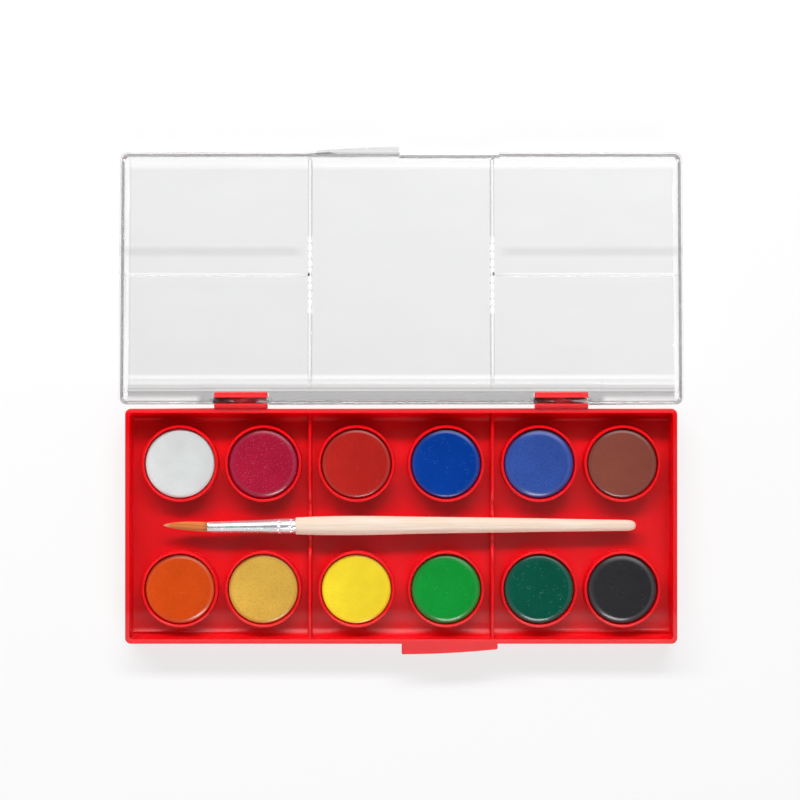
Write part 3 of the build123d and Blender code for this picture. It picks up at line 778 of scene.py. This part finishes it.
def tuft_faces():
    """Quads of every bristle's tube, and a quad that closes each of its ends."""
    step, hair, side = np.meshgrid(
        np.arange(hair_steps - 1), np.arange(hair_count), np.arange(hair_sides), indexing="ij"
    )

    def index(step, hair, side):
        """Number of the vertex at a step of a hair: sides count fastest, then hairs, then steps."""
        return (step * hair_count + hair) * hair_sides + side % hair_sides

    walls = np.stack([
        index(step, hair, side), index(step + 1, hair, side),
        index(step + 1, hair, side + 1), index(step, hair, side + 1),
    ], axis=-1).reshape(-1, 4)
    hairs = np.arange(hair_count)
    caps = [
        np.stack([index(end, hairs, order) for order in orders], axis=-1)
        for end, orders in ((0, (0, 1, 2, 3)), (hair_steps - 1, (3, 2, 1, 0)))
    ]
    return np.vstack([walls, *caps]).tolist()


def dyed_hair():
    """Dyed bristle: orange brown, a tone of its own for each, darker at the ferrule and lighter at
    the fine tips."""
    material, tree, shader = new_material("dyed_hair")
    strand = tree.nodes.new("ShaderNodeAttribute")
    strand.attribute_name = "strand"
    way = tree.nodes.new("ShaderNodeAttribute")
    way.attribute_name = "way"
    colour = mix_colours(tree, strand.outputs["Fac"], linear(186, 98, 40), linear(236, 152, 84))
    tip = spread(tree, way.outputs["Fac"], 0.82, 1.0)
    colour = mix_colours(tree, tip, colour, linear(250, 196, 160))
    root = spread(tree, way.outputs["Fac"], 0.0, 0.12, 0.35, 0.0)
    colour = mix_colours(tree, root, colour, linear(120, 58, 20))
    tree.links.new(colour, shader.inputs["Base Color"])
    shader.inputs["Roughness"].default_value = 0.42
    return material


core_tone = 0.1
core_inset = 0.14 * mm
random = np.random.default_rng(41)
tube_points, tube_way = tuft_points(random)
core_run = np.linspace(0, 0.96, 26)
core_x = np.concatenate([[hair_root_x, hair_root_x], mouth_x - core_run * hair_length])
core_radius = tuft_radius(core_run) - core_inset * (1 - 0.6 * core_run)
core_radius = np.concatenate([[0.0, 1.3 * mm], core_radius])
core_radius[-1] = 0.0
core = turned_piece("tuft_core", core_x, core_radius, 40)
core_points = np.array([vertex.co for vertex in core.data.vertices])
core_faces = [[index + tube_points.size // 3 for index in face.vertices] for face in core.data.polygons]
bpy.data.objects.remove(core)
tuft_all = np.vstack([tube_points.reshape(-1, 3), core_points])
tuft = shell("bristle_tuft", tuft_all, tuft_faces() + core_faces, 80)
strand_tone = np.repeat(random.uniform(0, 1, (1, hair_count, 1)), hair_sides, axis=2)
strand_tone = np.repeat(strand_tone, hair_steps, axis=0)
values = {
    "strand": np.concatenate([strand_tone.ravel(), np.full(len(core_points), core_tone)]),
    "way": np.concatenate([tube_way.ravel(), (mouth_x - core_points[:, 0]) / hair_length]),
}
for attribute_name, attribute_values in values.items():
    attribute = tuft.data.attributes.new(attribute_name, "FLOAT", "POINT")
    attribute.data.foreach_set("value", attribute_values.astype(np.float32))
fit(tuft, "brush_hair", "brush", dyed_hair())

# Resin. The plug of set glue that holds the roots, out of sight inside the ferrule. It fills the
# bore behind the hair, and has the amber, slightly bubbled look of a cast resin.
plug_front_x = -60.85 * mm
plug_back_x = -56.95 * mm
bore_x = np.linspace(plug_front_x, plug_back_x, 12)
bore_radius = smooth_through(bore_x, ferrule_knots, ferrule_widths) / 2 - ferrule_wall - 0.02 * mm
resin = turned_piece(
    "resin_plug", np.concatenate([bore_x[:1], bore_x, bore_x[-1:]]),
    np.concatenate([[0.0], bore_radius, [0.0]]), 48,
)
material, tree, shader = new_material("set_resin")
bubbles = noise(tree, place_of(tree), 0.5 * mm, 2.0, 51.0)
tree.links.new(
    mix_colours(tree, bubbles, linear(150, 92, 40), linear(196, 140, 80)), shader.inputs["Base Color"]
)
shader.inputs["Roughness"].default_value = 0.35
fit(resin, "brush_resin", "brush", material)

# Floor. A wide white table. It shows plain white to the camera and in the plastic and metal,
# and keeps part of the soft shadow that the box throws on it.
floor_reach = 3.0
floor_drop = 0.02 * mm
hinge_y = 43 * mm
corners = np.array([(-1, -1), (1, -1), (1, 1), (-1, 1)]) * floor_reach
mesh = bpy.data.meshes.new("table_top")
mesh.from_pydata(np.column_stack([corners, np.full(4, -floor_drop)]).tolist(), [], [(0, 1, 2, 3)])
floor = bpy.data.objects.new("table_top", mesh)
bpy.context.scene.collection.objects.link(floor)
material, tree, shader = new_material("white_table")
shader.inputs["Base Color"].default_value = (0.86, 0.86, 0.86, 1)
shader.inputs["Roughness"].default_value = 0.9
shader.inputs["Specular IOR Level"].default_value = 0.0
glow = tree.nodes.new("ShaderNodeEmission")
path = tree.nodes.new("ShaderNodeLightPath").outputs
mirrored = arithmetic(tree, "MAXIMUM", path["Is Glossy Ray"], path["Is Transmission Ray"])
seen = arithmetic(tree, "MAXIMUM", path["Is Camera Ray"], mirrored)
from_box = distance_of(tree, place_of(tree, (0, hinge_y, 0)))
through_plastic = spread(tree, from_box, 0.15, 0.30, 1.0, 0.78)
bright = blend(tree, path["Is Transmission Ray"], 1.0, through_plastic)
tree.links.new(bright, glow.inputs["Strength"])
mix = tree.nodes.new("ShaderNodeMixShader")
to_camera = spread(tree, from_box, 0.35, 1.0, 0.72, 1.0)
shown = blend(tree, path["Is Transmission Ray"], to_camera, 0.92)
tree.links.new(product(tree, seen, shown), mix.inputs[0])
tree.links.new(shader.outputs[0], mix.inputs[1])
tree.links.new(glow.outputs[0], mix.inputs[2])
tree.links.new(mix.outputs[0], tree.nodes["Material Output"].inputs["Surface"])
mesh.materials.append(material)

# Light. A white room that is plain white to the camera and darker overhead in the gloss, a wide
# soft lamp high behind the box, whose shadows fall forwards, and a small soft lamp in front that
# edges the tablets.
aim_y = 0.02


def facing(tree, outward, direction):
    """1 where the way outward is the direction, falling to 0 at a right angle: the dot product
    of the two."""
    node = tree.nodes.new("ShaderNodeVectorMath")
    node.operation = "DOT_PRODUCT"
    tree.links.new(outward, node.inputs[0])
    node.inputs[1].default_value = direction
    return node.outputs["Value"]


world = bpy.data.worlds.new("white_room")
bpy.context.scene.world = world
world.use_nodes = True
tree = world.node_tree
outward = tree.nodes.new("ShaderNodeTexCoord").outputs["Generated"]
path = tree.nodes.new("ShaderNodeLightPath").outputs
sideways, _, upwards = axes(tree, outward)
to_the_sides = spread(tree, arithmetic(tree, "ABSOLUTE", sideways), 0.3, 0.75)
wall = mix_colours(tree, to_the_sides, (0.5, 0.5, 0.51, 1), (0.4, 0.4, 0.41, 1))
veil = spread(tree, facing(tree, outward, (0.75, -0.60, 0.28)), 0.27, 0.46)
dark_part = mix_colours(tree, veil, (0.03, 0.03, 0.035, 1), (0.55, 0.55, 0.56, 1))
overhead = spread(tree, facing(tree, outward, (-0.06, 0.06, 0.996)), 0.86, 0.99)
sky = mix_colours(tree, overhead, wall, dark_part)
panel = spread(tree, facing(tree, outward, (0.20, 0.68, 0.705)), 0.84, 0.95)
sky = mix_colours(tree, panel, sky, (2.6, 2.6, 2.6, 1))
window = spread(tree, facing(tree, outward, (0.25, -0.955, 0.16)), 0.70, 0.96)
sky = mix_colours(tree, window, sky, (0.8, 0.8, 0.8, 1))
room = mix_colours(tree, window, (0.05, 0.05, 0.052, 1), (3.6, 3.6, 3.6, 1))
sky = mix_colours(tree, path["Is Diffuse Ray"], sky, room)
murk = mix_colours(tree, spread(tree, upwards, 0.1, 0.8), (0.74, 0.74, 0.74, 1), (0.92, 0.92, 0.92, 1))
sky = mix_colours(tree, path["Is Transmission Ray"], sky, murk)
sky = mix_colours(tree, path["Is Camera Ray"], sky, (1, 1, 1, 1))
tree.links.new(sky, tree.nodes["Background"].inputs["Color"])


def soft_lamp(name, place, width, height, watts, glossy):
    """Rectangular lamp at place, its width parallel to the box's, tipped to face the tray. Gloss and
    plastic show it if glossy."""
    data = bpy.data.lights.new(name, "AREA")
    data.shape = "RECTANGLE"
    data.size = width
    data.size_y = height
    data.energy = watts
    lamp = bpy.data.objects.new(name, data)
    bpy.context.scene.collection.objects.link(lamp)
    ahead = aim_y - place[1]
    lamp.location = place
    lamp.rotation_mode = "XYZ"
    lamp.rotation_euler = (math.atan2(abs(ahead), place[2]), 0, -math.pi if ahead < 0 else 0)
    lamp.visible_camera = False
    lamp.visible_glossy = glossy
    lamp.visible_transmission = glossy
    return lamp


soft_lamp("back_lamp", (-0.34, 0.91, 0.81), width=1.90, height=0.18, watts=22.4, glossy=False)
front_lamp = soft_lamp(
    "front_lamp", (0.06, -0.34, 0.52), width=0.22, height=0.08, watts=0.70, glossy=True
)
front_lamp.visible_diffuse = False

# Camera. Straight above the middle of the open box, as the photograph was taken, with a long lens
# from well above, so that the walls hardly lean outwards.
view_x = -0.0004
view_y = 0.0434
camera_height = 0.690
camera_data = bpy.data.cameras.new("camera")
camera_data.sensor_width = 36.0
camera_data.lens = 89.0
camera = bpy.data.objects.new("camera", camera_data)
bpy.context.scene.collection.objects.link(camera)
camera.location = (view_x, view_y, camera_height)
bpy.context.scene.camera = camera
bpy.context.scene.view_settings.view_transform = "Standard"

bpy.context.view_layer.update()
